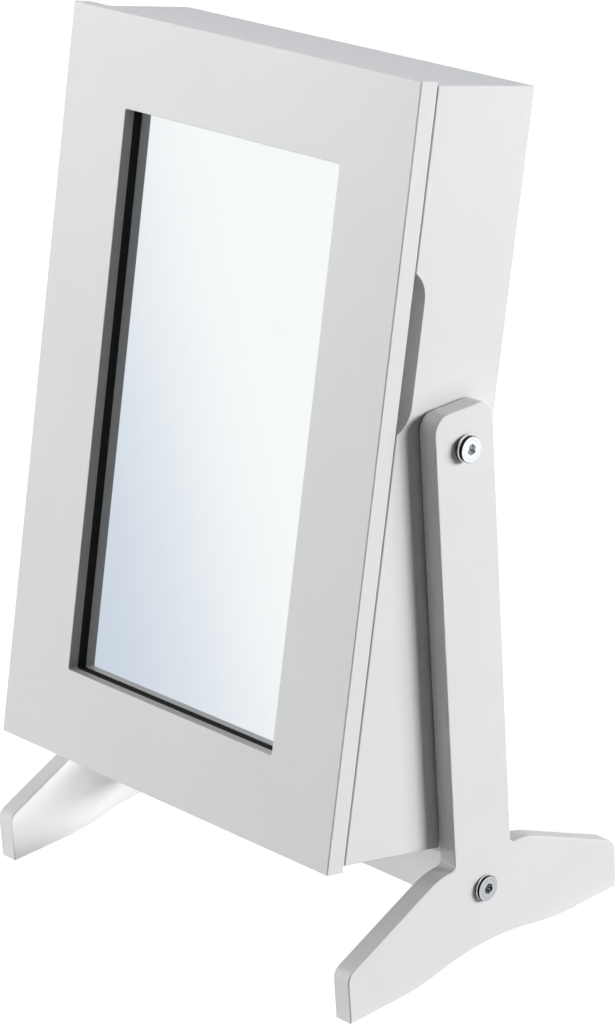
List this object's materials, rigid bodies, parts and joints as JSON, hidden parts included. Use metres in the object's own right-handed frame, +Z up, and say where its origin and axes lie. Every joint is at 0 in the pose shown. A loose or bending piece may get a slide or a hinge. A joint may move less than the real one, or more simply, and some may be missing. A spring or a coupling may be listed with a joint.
{
  "type": "tilting jewellery mirror cabinet",
  "caption": "Table-top jewellery cabinet with a hinged mirror door, hung between two legs on pivot bolts so that it tilts; shelves, ring rolls and necklace hooks inside.",
  "frame": {"origin": "on the table, midway between the legs and midway along the feet", "axes": "+X to the viewer's right, +Y to the back, +Z up; the cabinet leans back about X"},
  "size_m": [0.2692, 0.182, 0.4344],
  "materials": {
    "white_lacquer": "satin white lacquer on fibreboard",
    "painted_hardboard": "matt white painted hardboard",
    "mirror": "silvered glass",
    "black_foam": "matt black foam strip",
    "chrome": "polished chrome plate",
    "zinc_steel": "zinc plated steel",
    "nickel_steel": "nickel plated steel",
    "black_flock": "black flocked board and felt",
    "black_velvet": "black velvet over foam",
    "white_plastic": "moulded white plastic"
  },
  "bodies": {
    "stand": {"left_leg": "white_lacquer", "right_leg": "white_lacquer", "stretcher_rail": "white_lacquer", "stretcher_inserts": "zinc_steel", "stretcher_bolts": "chrome", "stretcher_washers": "chrome"},
    "cabinet": {"left_side_panel": "white_lacquer", "right_side_panel": "white_lacquer", "top_panel": "white_lacquer", "bottom_panel": "white_lacquer", "back_panel": "painted_hardboard", "back_lining": "black_flock", "divider": "white_lacquer", "lower_shelf": "white_lacquer", "upper_shelf": "white_lacquer", "lower_shelf_felt": "black_flock", "upper_shelf_felt": "black_flock", "left_floor_felt": "black_flock", "right_floor_felt": "black_flock", "lower_shelf_lip": "white_lacquer", "upper_shelf_lip": "white_lacquer", "floor_lip": "white_lacquer", "necklace_pocket_front": "white_lacquer", "ring_cushion_base": "black_flock", "hook_rail": "white_lacquer", "magnets": "nickel_steel", "hinge_pins": "nickel_steel", "cabinet_screws": "nickel_steel", "pivot_nuts": "zinc_steel", "pivot_bolts": "chrome", "pivot_washers": "chrome", "ring_roll_1": "black_velvet", "ring_roll_2": "black_velvet", "ring_roll_3": "black_velvet", "ring_roll_4": "black_velvet", "ring_roll_5": "black_velvet", "ring_roll_6": "black_velvet", "necklace_hook_1": "nickel_steel", "necklace_hook_2": "nickel_steel", "necklace_hook_3": "nickel_steel", "necklace_hook_4": "nickel_steel", "necklace_hook_5": "nickel_steel", "lower_hinge_cabinet_leaf": "nickel_steel", "upper_hinge_cabinet_leaf": "nickel_steel", "lower_magnet_housing": "white_plastic", "upper_magnet_housing": "white_plastic"},
    "door": {"door_frame": "white_lacquer", "mirror_glass": "mirror", "mirror_gasket": "black_foam", "mirror_backing": "black_flock", "door_screws": "nickel_steel", "strike_plates": "nickel_steel", "earring_bar_1": "white_lacquer", "earring_bar_2": "white_lacquer", "earring_bar_3": "white_lacquer", "lower_hinge_door_leaf": "nickel_steel", "upper_hinge_door_leaf": "nickel_steel"}
  },
  "joints": [
    {"name": "tilt", "type": "hinge", "parent": "stand", "child": "cabinet", "pos_m": [0, 0, 0.26199], "axis": [-1, 0, 0], "range_deg": [-13.2, 16.8]},
    {"name": "door_hinge", "type": "hinge", "parent": "cabinet", "child": "door", "pos_m": [-0.1223, -0.0381, 0.25193], "axis": [0, -0.2284, -0.9736], "range_deg": [0, 105]}
  ]
}
